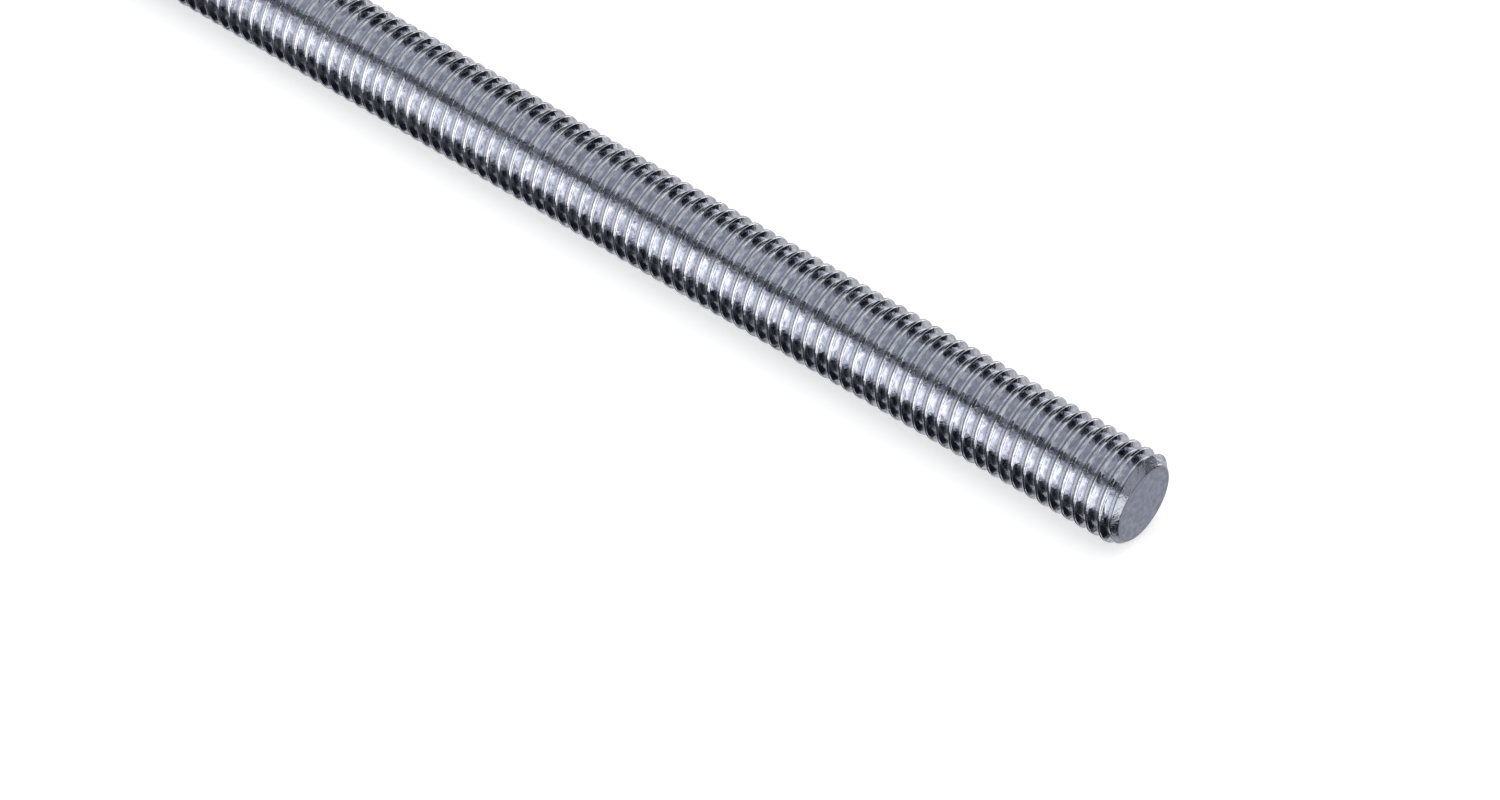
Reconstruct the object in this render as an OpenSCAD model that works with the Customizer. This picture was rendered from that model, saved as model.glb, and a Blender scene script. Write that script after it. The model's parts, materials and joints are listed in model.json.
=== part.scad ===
// Fully threaded rod: one straight steel bar with a chamfer at each end.
// The solid stands at the thread's major diameter, over its crests. The helical groove is too
// fine for this model, and a finished surface carries it. The thread's pitch still sets both
// chamfers, which run in to just under the groove's floor, as they are cut on such a rod.
// The rod lies along X, with the origin on its axis, midway between the end faces.

/* [Thread] */
// Major diameter of the thread, over its crests
major_d = 10; // [5:0.5:30]
// Distance from one crest to the next, one turn of the helix
pitch = 1.5; // [0.5:0.05:2]
// Width of the flat on top of each crest
crest_flat = 0.3; // [0.05:0.05:0.3]

/* [Rod] */
// Length between the two end faces
rod_length = 200; // [50:5:1000]

/* [Ends] */
// Angle between each chamfer and the rod's axis, in degrees
chamfer_angle = 45; // [30:1:60]
// How far each chamfer runs in below the groove's floor, along the radius
chamfer_below_root = 0.08; // [0:0.02:0.5]

/* [Hidden] */
// A 60 degree groove would come to a sharp point this far below the crests
sharp_depth = (pitch - crest_flat) * sqrt(3) / 2;
// Radius of the groove's rounded floor, a sixth of the height of a sharp thread
root_round = pitch * sqrt(3) / 12;

major_r = major_d / 2;
root_r = major_r - (sharp_depth - root_round);
end_face_r = root_r - chamfer_below_root;
end_x = rod_length / 2;
chamfer_x = end_x - (major_r - end_face_r) / tan(chamfer_angle);

round_segments = 96;

// Half of the rod's lengthwise section, from the axis outwards, with its length along Y
module half_section() {
    polygon([
        [0, -end_x],
        [end_face_r, -end_x],
        [major_r, -chamfer_x],
        [major_r, chamfer_x],
        [end_face_r, end_x],
        [0, end_x],
    ]);
}

module threaded_rod() {
    color("lightsteelblue")
        rotate([0, 90, 0])
            rotate_extrude($fn = round_segments) half_section();
}

threaded_rod();
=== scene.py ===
"""The looks of the threaded rod: a true helical thread and chamfered ends, in zinc-plated steel.

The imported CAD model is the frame. Its one node is the bar at the thread's major diameter, and the rod
made here stands for it: same length, same diameter, same chamfers, with the groove cut in.
"""

import json
import math

import bpy
import numpy as np
from mathutils import Matrix, Vector


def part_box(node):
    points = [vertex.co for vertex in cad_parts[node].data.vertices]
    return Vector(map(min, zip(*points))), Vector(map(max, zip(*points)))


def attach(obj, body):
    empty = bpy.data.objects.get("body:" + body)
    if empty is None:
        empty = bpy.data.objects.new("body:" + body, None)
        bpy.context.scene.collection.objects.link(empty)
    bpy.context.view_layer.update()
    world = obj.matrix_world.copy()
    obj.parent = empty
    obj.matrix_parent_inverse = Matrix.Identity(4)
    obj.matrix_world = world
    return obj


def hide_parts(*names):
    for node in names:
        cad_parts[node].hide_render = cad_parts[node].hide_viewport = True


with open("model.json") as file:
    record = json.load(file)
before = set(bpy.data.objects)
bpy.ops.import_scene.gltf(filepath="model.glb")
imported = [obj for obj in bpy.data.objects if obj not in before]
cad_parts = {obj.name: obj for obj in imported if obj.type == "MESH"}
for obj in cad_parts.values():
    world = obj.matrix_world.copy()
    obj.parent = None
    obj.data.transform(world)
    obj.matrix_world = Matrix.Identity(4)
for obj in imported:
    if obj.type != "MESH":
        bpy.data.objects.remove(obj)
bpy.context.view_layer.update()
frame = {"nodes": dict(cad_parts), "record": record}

NODE = "threaded_rod"
MM = 0.001
NO_DISTANCE = 1e-6  # metres, less than which is the same place

# ---- Sizes, from the frame -----------------------------------------------------------------------

ROD_LOW, ROD_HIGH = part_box(NODE)
THREAD_MOUNT = next(m for m in frame["record"]["mounts"] if m["name"] == "thread")
CREST_R = THREAD_MOUNT["dims"]["r_mm"] * MM
FULL_THREAD = THREAD_MOUNT["dims"]["length_mm"] * MM
END_X = ROD_HIGH.x
CHAMFER_X = FULL_THREAD / 2


def end_face_radius():
    """The radius of the CAD bar's flat end face."""
    points = [v.co for v in frame["nodes"][NODE].data.vertices]
    return max(math.hypot(p.y, p.z) for p in points if p.x > END_X - NO_DISTANCE)


# ---- The thread ----------------------------------------------------------------------------------

# A right-hand metric thread: 60 degrees between the flanks, with a rounded crest and floor.
PITCH = 1.5 * MM
CREST_FLAT = 0.3 * MM  # across the crest, as it would be with sharp edges
CREST_ROUND = 0.18 * MM
ROOT_ROUND = PITCH * math.sqrt(3) / 12
GROOVE_DEPTH = (PITCH - CREST_FLAT) * math.sqrt(3) / 2 - ROOT_ROUND
FLANK_TURN = math.radians(60)  # from level to the flank's slope
ROOT_R = CREST_R - GROOVE_DEPTH
CREST_CORNER = (PITCH - CREST_FLAT) / 2 + CREST_ROUND * math.tan(FLANK_TURN / 2)
STEPS_ROUND = 54
ROOT_STEPS, CREST_STEPS = 2, 3
OVERRUN = 1.2  # turns of thread past each end, before the ends are cut
TURNS = math.ceil(2 * END_X / PITCH + 2 * OVERRUN)
HELIX_START = -TURNS * PITCH / 2


def arc(way, centre, radius, rounding, steps):
    """An arc of the outline, from its level middle to the flank's slope.

    way is 1 on the groove's floor and -1 on the crest. centre and radius place the arc's own centre.
    """
    turns = [FLANK_TURN * i / steps for i in range(steps + 1)]
    reach = way * rounding
    return [(centre + reach * math.sin(turn), radius - reach * math.cos(turn)) for turn in turns]


def groove_outline():
    """One turn's outline, from one groove's floor to just before the next.

    Each point is a distance along the rod and a radius.
    """
    root = arc(1, 0, ROOT_R + ROOT_ROUND, ROOT_ROUND, ROOT_STEPS)
    crest = arc(-1, CREST_CORNER, CREST_R - CREST_ROUND, CREST_ROUND, CREST_STEPS)
    half = root + crest[::-1]
    return half + [(PITCH - x, r) for x, r in reversed(half[1:])]


def outline_slope(along):
    """How fast the radius grows along the rod, at each distance along it from a groove's floor."""
    from_nearest = (along + PITCH / 2) % PITCH - PITCH / 2
    from_floor, side = np.abs(from_nearest), np.sign(from_nearest)
    steepest = math.sin(FLANK_TURN)
    in_root = np.clip(from_floor / ROOT_ROUND, 0, steepest)
    in_crest = np.clip((CREST_CORNER - from_floor) / CREST_ROUND, 0, steepest)
    sine = np.minimum(in_root, in_crest)
    return side * sine / np.sqrt(1 - sine**2)


def mesh_of(name, points, faces):
    """A mesh of its own from points and the numbers of each face's points."""
    mesh = bpy.data.meshes.new(name)
    mesh.from_pydata(points, [], faces)
    mesh.update()
    return mesh


def helix_mesh():
    """A closed solid of thread, longer than the rod, whose two ends are later cut away."""
    outline = groove_outline()
    per_row = len(outline)
    rows = TURNS * STEPS_ROUND
    points, faces = [], []
    # Row k is at step k round the rod, and holds one turn's outline. The point after its last is the
    # first point of row k + STEPS_ROUND.
    for k in range(rows + STEPS_ROUND + 1):
        angle = 2 * math.pi * k / STEPS_ROUND
        floor_x = HELIX_START + PITCH * (k / STEPS_ROUND - 0.5)
        for x, r in outline if k <= rows else outline[:1]:
            points.append((floor_x + x, r * math.cos(angle), r * math.sin(angle)))

    def at(k, j):
        """The number of point j in row k."""
        if j == per_row:
            k, j = k + STEPS_ROUND, 0
        return k * per_row + j if k <= rows else (rows + 1) * per_row + k - rows - 1

    for k in range(rows):
        for j in range(per_row):
            faces.append((at(k, j), at(k + 1, j), at(k + 1, j + 1), at(k, j + 1)))
    # Each end's open edge runs along a row and back down one turn of groove. A fan closes it.
    near = [at(0, j) for j in range(per_row + 1)] + [at(k, 0) for k in range(STEPS_ROUND - 1, -1, -1)]
    far = [at(rows, j) for j in range(per_row + 1)]
    far += [at(rows - k, per_row) for k in range(1, STEPS_ROUND + 1)]
    for edge, centre_x in ((near, HELIX_START), (far[::-1], HELIX_START + TURNS * PITCH)):
        points.append((centre_x, 0.0, 0.0))
        faces += [(len(points) - 1, a, b) for a, b in zip(edge, edge[1:])]
    return mesh_of("helix", points, faces)


# ---- The ends ------------------------------------------------------------------------------------

END_FACE_R = end_face_radius()
CHAMFER_LONG = END_X - CHAMFER_X
CHAMFER_IN = CREST_R - END_FACE_R
CHAMFER_LEAN = math.atan2(CHAMFER_IN, CHAMFER_LONG)
RIM_ROUND = 0.3 * MM
RIM_STEPS = 5
BLANK_MARGIN = 0.3 * MM  # how far the blank stands clear of the crests, between the chamfers
BLANK_STEPS_ROUND = 120


def blank_outline():
    """The right half of the blank's outline, from the end face inwards.

    Each point is a distance from the rod's middle and a radius.
    """
    turn = math.pi / 2 - CHAMFER_LEAN
    centre_r = END_FACE_R - RIM_ROUND * math.tan(turn / 2)
    outline = []
    for i in range(RIM_STEPS + 1):
        lean = math.pi / 2 - turn * i / RIM_STEPS
        rim_x = END_X - RIM_ROUND + RIM_ROUND * math.sin(lean)
        outline.append((rim_x, centre_r + RIM_ROUND * math.cos(lean)))
    reach = BLANK_MARGIN / CHAMFER_IN
    outline.append((CHAMFER_X - reach * CHAMFER_LONG, CREST_R + BLANK_MARGIN))
    return outline


def blank_mesh():
    """The chamfered bar that the thread is cut from, standing a little clear of the crests."""
    right = blank_outline()
    outline = right + [(-x, r) for x, r in reversed(right)]
    steps = BLANK_STEPS_ROUND
    angles = [2 * math.pi * k / steps for k in range(steps)]
    points = [(x, r * math.cos(a), r * math.sin(a)) for x, r in outline for a in angles]
    faces = [tuple(range(steps))]
    for i in range(len(outline) - 1):
        here, there = i * steps, (i + 1) * steps
        for k in range(steps):
            after = (k + 1) % steps
            faces.append((here + k, there + k, there + after, here + after))
    last = (len(outline) - 1) * steps
    faces.append(tuple(last + k for k in reversed(range(steps))))
    return mesh_of("blank", points, faces)


# ---- The rod -------------------------------------------------------------------------------------

THREAD_SLOT, CHAMFER_SLOT, FACE_SLOT = range(3)
SQUARE_ON = 0.99  # a face's normal along the rod, past which it is the end face


def add(name, mesh):
    """A new object in the scene."""
    obj = bpy.data.objects.new(name, mesh)
    bpy.context.scene.collection.objects.link(obj)
    return obj


def shared_solid(a, b):
    """The mesh of what two closed objects share. Both objects are removed."""
    cut = a.modifiers.new("shared", "BOOLEAN")
    cut.operation = "INTERSECT"
    cut.solver = "MANIFOLD"
    cut.object = b
    evaluated = a.evaluated_get(bpy.context.evaluated_depsgraph_get())
    mesh = bpy.data.meshes.new_from_object(evaluated)
    for obj in (a, b):
        bpy.data.objects.remove(obj)
    return mesh


def around(points):
    """At points on the rod, the outward directions and those that go round with the angle."""
    out = points * [0, 1, 1]
    out /= np.maximum(np.linalg.norm(out, axis=1, keepdims=True), NO_DISTANCE)
    return out, np.stack([out[:, 0], -out[:, 2], out[:, 1]], axis=1)


def thread_normals(points):
    """The true thread's normals at points on its surface."""
    out, with_angle = around(points)
    radius = np.linalg.norm(points[:, 1:], axis=1)
    # How far along the rod the helix has run by each point's angle
    lead = PITCH * np.arctan2(points[:, 2], points[:, 1]) / (2 * math.pi)
    slope = outline_slope(points[:, 0] - lead - (HELIX_START - PITCH / 2))
    tilt = np.stack([slope, slope * PITCH / (2 * math.pi * radius)], axis=1)
    return out - tilt[:, :1] * [1, 0, 0] + tilt[:, 1:] * with_angle


def lathe_normals(points, face_normals):
    """Normals that are smooth round the rod and sharp between one band of the blank and the next."""
    out, _ = around(points)
    outward = np.linalg.norm(face_normals[:, 1:], axis=1, keepdims=True)
    return out * outward + face_normals[:, :1] * [1, 0, 0]


def set_normals(mesh):
    """Gives each face corner the normal of the surface that its face is part of."""
    corners = np.empty(len(mesh.loops), int)
    mesh.loops.foreach_get("vertex_index", corners)
    vertices = np.empty(len(mesh.vertices) * 3)
    mesh.vertices.foreach_get("co", vertices)
    slots, sizes = (np.empty(len(mesh.polygons), int) for _ in range(2))
    mesh.polygons.foreach_get("material_index", slots)
    mesh.polygons.foreach_get("loop_total", sizes)
    face_normals = np.empty(len(mesh.polygons) * 3)
    mesh.polygons.foreach_get("normal", face_normals)
    points = vertices.reshape(-1, 3)[corners]
    face_of = np.repeat(np.arange(len(sizes)), sizes)
    on_thread = (slots == THREAD_SLOT)[face_of]
    normals = lathe_normals(points, face_normals.reshape(-1, 3)[face_of])
    normals[on_thread] = thread_normals(points[on_thread])
    normals /= np.linalg.norm(normals, axis=1, keepdims=True)
    mesh.shade_smooth()
    mesh.normals_split_custom_set(normals)


def blank_slots(mesh):
    """The material of each face of the blank."""
    return [FACE_SLOT if abs(face.normal.x) > SQUARE_ON else CHAMFER_SLOT for face in mesh.polygons]


def threaded_rod(materials):
    """The whole rod as one closed mesh: the thread cut off by the chamfered blank."""
    helix, blank = add("helix", helix_mesh()), add("blank", blank_mesh())
    slots = {helix: [THREAD_SLOT] * len(helix.data.polygons), blank: blank_slots(blank.data)}
    for obj in (helix, blank):
        for material in materials:
            obj.data.materials.append(material)
        obj.data.polygons.foreach_set("material_index", slots[obj])
    mesh = shared_solid(helix, blank)
    set_normals(mesh)
    mesh.name = "rod"
    rod = add("rod", mesh)
    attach(rod, "root")
    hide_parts(NODE)


# ---- Materials -----------------------------------------------------------------------------------

def node(tree, kind, **inputs):
    """A new node with its inputs set by name: to a value, or to another node's output."""
    made = tree.nodes.new(kind)
    return feed(tree, made, **inputs)


def feed(tree, made, **inputs):
    """Sets a node's inputs by name, or by number where the name is _ and a number."""
    for name, value in inputs.items():
        socket = made.inputs[int(name[1:])] if name[0] == "_" else made.inputs[name.replace("_", " ")]
        if isinstance(value, bpy.types.NodeSocket):
            tree.links.new(value, socket)
        else:
            socket.default_value = value
    return made


def maths(tree, operation, *values):
    """One step of arithmetic on its values."""
    made = tree.nodes.new("ShaderNodeMath")
    made.operation = operation
    feed(tree, made, **{f"_{i}": v for i, v in enumerate(values)})
    return made.outputs[0]


def ramp(tree, value, low, high, to_low=0.0, to_high=1.0):
    """value, from low to high, as a smooth step from to_low to to_high."""
    made = tree.nodes.new("ShaderNodeMapRange")
    made.interpolation_type = "SMOOTHSTEP"
    feed(tree, made, Value=value, From_Min=low, From_Max=high, To_Min=to_low, To_Max=to_high)
    return made.outputs[0]


def mix(tree, share, a, b):
    """A colour from a to b, which are sockets 6 and 7 of the node."""
    made = tree.nodes.new("ShaderNodeMix")
    made.data_type = "RGBA"
    feed(tree, made, _0=share, _6=a, _7=b)
    return made.outputs[2]


def within(tree, value, low, high, soft):
    """1 where value lies from low to high, and 0 outside, with soft edges."""
    above = ramp(tree, value, low - soft, low + soft)
    return maths(tree, "MULTIPLY", above, ramp(tree, value, high - soft, high + soft, 1.0, 0.0))


def blend(tree, share, a, b):
    """A number from a to b, which are sockets 2 and 3 of the node."""
    made = tree.nodes.new("ShaderNodeMix")
    feed(tree, made, _0=share, _2=a, _3=b)
    return made.outputs[0]


def noise(tree, vector, per_mm, detail, roughness=0.5):
    """A noise with so many lumps for each mm, and so much detail."""
    made = node(tree, "ShaderNodeTexNoise", Vector=vector, Scale=per_mm / MM)
    feed(tree, made, Detail=detail, Roughness=roughness)
    return made.outputs[0]


def weighted(tree, *pairs):
    """The sum of some values, each times its share."""
    total = 0.0
    for value, share in pairs:
        total = maths(tree, "ADD", total, maths(tree, "MULTIPLY", value, share))
    return total


def parts_of(tree, vector):
    """The x, y and z of a vector."""
    return node(tree, "ShaderNodeSeparateXYZ", Vector=vector).outputs


def radius_at(tree, place):
    """The distance from the rod's axis."""
    _, y, z = parts_of(tree, place)
    squares = maths(tree, "ADD", maths(tree, "MULTIPLY", y, y), maths(tree, "MULTIPLY", z, z))
    return maths(tree, "SQRT", squares)


def metal(name):
    """A bare metal material, with its node tree, its shader and the place on the object."""
    made = bpy.data.materials.new(name)
    made.use_nodes = True
    tree = made.node_tree
    shader = tree.nodes["Principled BSDF"]
    shader.inputs["Metallic"].default_value = 1.0
    return made, tree, shader, tree.nodes.new("ShaderNodeTexCoord").outputs["Object"]


# Zinc plate on the thread. A noise has its lumps for each mm, then its detail. A range is of a
# noise's values, or of the height from the groove's floor to the crest. A share is of the relief.
MARKS, DENTS, CLOUDS, PLATE_GRAIN = (3.5, 2.0), (1.1, 2.0), (0.5, 3.0), (6.0, 2.0)
MARK_STRETCH = 0.3  # the marks' lumps for each mm across the rod, against those along it
MARK_SHARE, DENT_SHARE, PLATE_GRAIN_SHARE = 0.25, 0.65, 0.1
MARK_RANGE, CLOUD_RANGE = (0.35, 0.6), (0.3, 0.7)
PLATE_DULL, PLATE_BRIGHT = (0.66, 0.69, 0.77, 1), (0.8, 0.83, 0.9, 1)
# The groove's floor has a darker colour: painted shade, for the shade that falls deep in the groove.
PLATE_WORN, PLATE_ROOT_SHADE = (0.5, 0.52, 0.59, 1), (0.58, 0.60, 0.67, 1)
ROOT_SHADE_RANGE, ROOT_ROUGH_RANGE = (0.0, 0.35), (0.0, 0.5)
PLATE_ROUGH = (0.07, 0.15)
ROOT_ROUGHER = 0.12
PLATE_RELIEF = 0.15 * MM
BUMP_STRENGTH = 0.5


def plated_thread():
    """Bright zinc plate on a rolled thread, with marks along the groove, a rougher floor and painted
    shade darkening the floor.
    """
    made, tree, shader, place = metal("plated_thread")
    height = ramp(tree, radius_at(tree, place), ROOT_R, CREST_R)
    stretch = (1, MARK_STRETCH, MARK_STRETCH)
    stretched = node(tree, "ShaderNodeMapping", Vector=place, Scale=stretch).outputs[0]
    marks = noise(tree, stretched, *MARKS)
    dents = noise(tree, place, *DENTS)
    clouds = noise(tree, place, *CLOUDS)
    grain = noise(tree, place, *PLATE_GRAIN)
    tint = mix(tree, ramp(tree, clouds, *CLOUD_RANGE), PLATE_DULL, PLATE_BRIGHT)
    worn = mix(tree, ramp(tree, marks, *MARK_RANGE), PLATE_WORN, tint)
    # Painted shade: the colour darkens from the crest towards the groove's floor.
    colour = mix(tree, ramp(tree, height, *ROOT_SHADE_RANGE), PLATE_ROOT_SHADE, worn)
    plate_rough = ramp(tree, clouds, *CLOUD_RANGE, *PLATE_ROUGH)
    root_rough = ramp(tree, height, *ROOT_ROUGH_RANGE, ROOT_ROUGHER, 0.0)
    rough = maths(tree, "ADD", plate_rough, root_rough)
    relief = weighted(tree, (marks, MARK_SHARE), (grain, PLATE_GRAIN_SHARE), (dents, DENT_SHARE))
    bump = node(tree, "ShaderNodeBump", Strength=BUMP_STRENGTH, Distance=PLATE_RELIEF, Height=relief)
    feed(tree, shader, Base_Color=colour, Roughness=rough, Normal=bump.outputs[0])
    return made


# The plated cut at each end, in the same terms. The mottle's third value is its noise's roughness.
MOTTLE, CUT_GRAIN = (1.4, 4.0, 0.6), (5.0, 3.0)
MOTTLE_SHARE, CUT_GRAIN_SHARE = 0.7, 0.3
MOTTLE_RANGE, MOTTLE_ROUGH_RANGE = (0.35, 0.65), (0.3, 0.7)
CUT_DARK, CUT_LIGHT, CUT_RIM = (0.34, 0.37, 0.46, 1), (0.55, 0.585, 0.71, 1), (0.36, 0.38, 0.43, 1)
CHAMFER_ROUGH, FACE_ROUGH = (0.16, 0.26), (0.38, 0.5)
RIM_START, RIM_FULL = END_FACE_R - 0.45 * MM, END_FACE_R - 0.1 * MM
RIM_SHARE = 0.7  # how much of the rim's colour there is from RIM_FULL outwards
CUT_RELIEF = 0.2 * MM


def cut_steel(name, rough_range):
    """The sheared and plated end: mottled, and darker towards its rim."""
    made, tree, shader, place = metal(name)
    mottle = noise(tree, place, *MOTTLE)
    grain = noise(tree, place, *CUT_GRAIN)
    tint = mix(tree, ramp(tree, mottle, *MOTTLE_RANGE), CUT_DARK, CUT_LIGHT)
    # The colour darkens towards the rim of the end face.
    dull = maths(tree, "MULTIPLY", ramp(tree, radius_at(tree, place), RIM_START, RIM_FULL), RIM_SHARE)
    colour = mix(tree, dull, tint, CUT_RIM)
    rough = ramp(tree, mottle, *MOTTLE_ROUGH_RANGE, *rough_range)
    relief = weighted(tree, (mottle, MOTTLE_SHARE), (grain, CUT_GRAIN_SHARE))
    bump = node(tree, "ShaderNodeBump", Strength=BUMP_STRENGTH, Distance=CUT_RELIEF, Height=relief)
    feed(tree, shader, Base_Color=colour, Roughness=rough, Normal=bump.outputs[0])
    return made


# ---- The studio ----------------------------------------------------------------------------------

# Brightness of the wall that the camera sees, then of the room, boxes and gaps that the rod mirrors.
BACKDROP = 1.0
ROOM = 0.6
FRONT_BOX, RIGHT_BOX, BACK_BOX, EDGE_LIGHT, NEAR_BLACK = 1.95, 2.0, 1.5, 0.9, 0.01
# The soft boxes are a little warmer than the room. A faint blue fill tints the dark gaps.
WHITE, BOX_COLOUR, FILL_COLOUR = (1, 1, 1, 1), (1.0, 0.97, 0.93, 1), (0.0, 0.15, 1.0, 1)
FILL = 0.008
ALL_LEFT, ALL_RIGHT = -2, 2  # past the ends of the room
SEAM = -120.0  # degrees round the rod, where the panels' angles start again
# Soft boxes and dark gaps that lie along the rod, each painted over those before it. After its name,
# a panel has from, to and softness in degrees round the rod, where 0 is the front horizon, 90 is
# overhead and 180 is the back horizon. Then it has the same again, as the share of a direction that
# points along the rod, and last its brightness.
PANELS = (
    ("strip behind", 134, 170, 4, ALL_LEFT, 0.04, 0.06, NEAR_BLACK),
    ("strip behind, right", 174, 206, 6, 0.35, 0.85, 0.1, NEAR_BLACK),
    ("strip above", 46, 68, 2, ALL_LEFT, -0.24, 0.04, NEAR_BLACK),
    ("strip behind, far", 134, 170, 4, -0.56, -0.44, 0.05, 0.14),
    ("strip above, far", 46, 68, 2, -0.55, -0.44, 0.04, 0.3),
    ("strip above, right", 46, 67, 2, 0.45, ALL_RIGHT, 0.1, 0.04),
    ("soft box in front", -30, 29, 9, ALL_LEFT, -0.37, 0.06, FRONT_BOX),
    ("soft box, right", -30, 31, 6, 0.55, ALL_RIGHT, 0.1, RIGHT_BOX),
    ("floor's edge", -78, -28, 4, ALL_LEFT, 0.08, 0.08, NEAR_BLACK),
    ("floor's edge, far", -84, -28, 4, -0.56, -0.44, 0.05, 0.14),
    ("floor's edge, middle", -102, -78, 4, -0.42, 0.42, 0.04, NEAR_BLACK),
    ("floor's edge, right", -102, -34, 4, 0.4, 0.8, 0.04, NEAR_BLACK),
    ("floor's edge, far right", -80, -34, 4, 0.7, ALL_RIGHT, 0.1, 0.08),
    ("edge light", -100, 132, 6, 0.04, 0.34, 0.06, EDGE_LIGHT),
    ("strip above, middle", 47, 66, 2, -0.24, 0.45, 0.04, 0.06),
    ("floor's edge, near edge light", -66, -30, 4, 0.0, 0.4, 0.04, 0.15),
    ("back box", 170, 204, 4, -0.02, 0.32, 0.06, BACK_BOX),
    ("back strip", 150, 168, 3, 0.4, ALL_RIGHT, 0.08, NEAR_BLACK),
    ("back box, upper", 112, 134, 4, 0.1, 0.33, 0.05, BACK_BOX),
    ("back strip, upper", 92, 108, 3, 0.1, 0.33, 0.05, NEAR_BLACK),
    ("back floor's edge", 209, 227, 4, 0.64, ALL_RIGHT, 0.03, NEAR_BLACK),
)


def studio_world():
    """The room and its panels, as a brightness for each direction. The camera sees a plain wall."""
    world = bpy.data.worlds.new("studio")
    bpy.context.scene.world = world
    world.use_nodes = True
    tree = world.node_tree
    background = tree.nodes["Background"]
    direction = tree.nodes.new("ShaderNodeTexCoord").outputs["Generated"]
    x, y, z = parts_of(tree, direction)
    angle = maths(tree, "DEGREES", maths(tree, "ARCTAN2", z, maths(tree, "MULTIPLY", y, -1.0)))
    round_rod = maths(tree, "WRAP", angle, SEAM + 360, SEAM)
    light = ROOM
    for _, low, high, soft, left, right, side_soft, brightness in PANELS:
        in_height = within(tree, round_rod, low, high, soft)
        in_width = within(tree, x, left, right, side_soft)
        light = blend(tree, maths(tree, "MULTIPLY", in_height, in_width), light, brightness)
    by_camera = tree.nodes.new("ShaderNodeLightPath").outputs["Is Camera Ray"]
    warmed = mix(tree, ramp(tree, light, ROOM, FRONT_BOX), WHITE, BOX_COLOUR)
    colour = mix(tree, by_camera, warmed, WHITE)
    feed(tree, background, Color=colour, Strength=blend(tree, by_camera, light, BACKDROP))
    fill = node(tree, "ShaderNodeBackground", Color=FILL_COLOUR, Strength=FILL)
    both = node(tree, "ShaderNodeAddShader", _0=background.outputs[0], _1=fill.outputs[0])
    feed(tree, tree.nodes["World Output"], Surface=both.outputs[0])


FLOOR_REACH = 50.0  # metres each way
FLOOR_COLOUR, FLOOR_GLOW = (0.9, 0.9, 0.9, 1), 0.45


def studio_floor():
    """A plain pale floor that the rod lies on, and that isn't mirrored in the rod."""
    corners = ((-1, -1), (1, -1), (1, 1), (-1, 1))
    points = [(x * FLOOR_REACH, y * FLOOR_REACH, 0) for x, y in corners]
    floor = add("floor", mesh_of("floor", points, [(0, 1, 2, 3)]))
    floor.location.z = ROD_LOW.z
    made = bpy.data.materials.new("floor")
    made.use_nodes = True
    tree = made.node_tree
    shader = tree.nodes["Principled BSDF"]
    feed(tree, shader, Base_Color=FLOOR_COLOUR, Roughness=1.0, Specular_IOR_Level=0.0)
    feed(tree, shader, Emission_Color=WHITE, Emission_Strength=FLOOR_GLOW)
    floor.data.materials.append(made)
    floor.visible_glossy = False


OVERHEAD_STRENGTH, OVERHEAD_SPREAD = 1.0, math.radians(120)


def floor_light():
    """A very soft overhead light that brightens the floor and isn't mirrored in the rod."""
    lamp = bpy.data.lights.new("overhead", "SUN")
    lamp.energy = OVERHEAD_STRENGTH
    lamp.angle = OVERHEAD_SPREAD
    light = bpy.data.objects.new("overhead", lamp)
    light.visible_glossy = False
    bpy.context.scene.collection.objects.link(light)


# ---- The camera ----------------------------------------------------------------------------------

AZIMUTH, ELEVATION = math.radians(38.5), math.radians(47.6)
DISTANCE = 673 * MM  # from the point that it looks at
LENS = 168.0  # mm, on a 36 mm sensor
AIM_LEFT, AIM_UP = 37.87 * MM, 10.0 * MM  # that point, from the near end face, as the camera sees it


def studio_camera():
    """Looks down on the rod's near end, a little right of the middle. The far end is out of view."""
    level = math.cos(ELEVATION)
    back = Vector((math.sin(AZIMUTH) * level, -math.cos(AZIMUTH) * level, math.sin(ELEVATION)))
    right = Vector((math.cos(AZIMUTH), math.sin(AZIMUTH), 0))
    up = back.cross(right)
    aim = Vector((END_X, 0, 0)) - right * AIM_LEFT + up * AIM_UP
    data = bpy.data.cameras.new("camera")
    data.lens = LENS
    camera = bpy.data.objects.new("camera", data)
    turn = Matrix((right, up, back)).transposed().to_4x4()
    camera.matrix_world = Matrix.Translation(aim + back * DISTANCE) @ turn
    bpy.context.scene.collection.objects.link(camera)
    bpy.context.scene.camera = camera


thread_plate = plated_thread()
chamfer_plate = cut_steel("cut_chamfer", CHAMFER_ROUGH)
face_plate = cut_steel("cut_face", FACE_ROUGH)
threaded_rod((thread_plate, chamfer_plate, face_plate))
studio_world()
studio_floor()
floor_light()
studio_camera()
bpy.context.scene.view_settings.view_transform = "Standard"

bpy.context.view_layer.update()
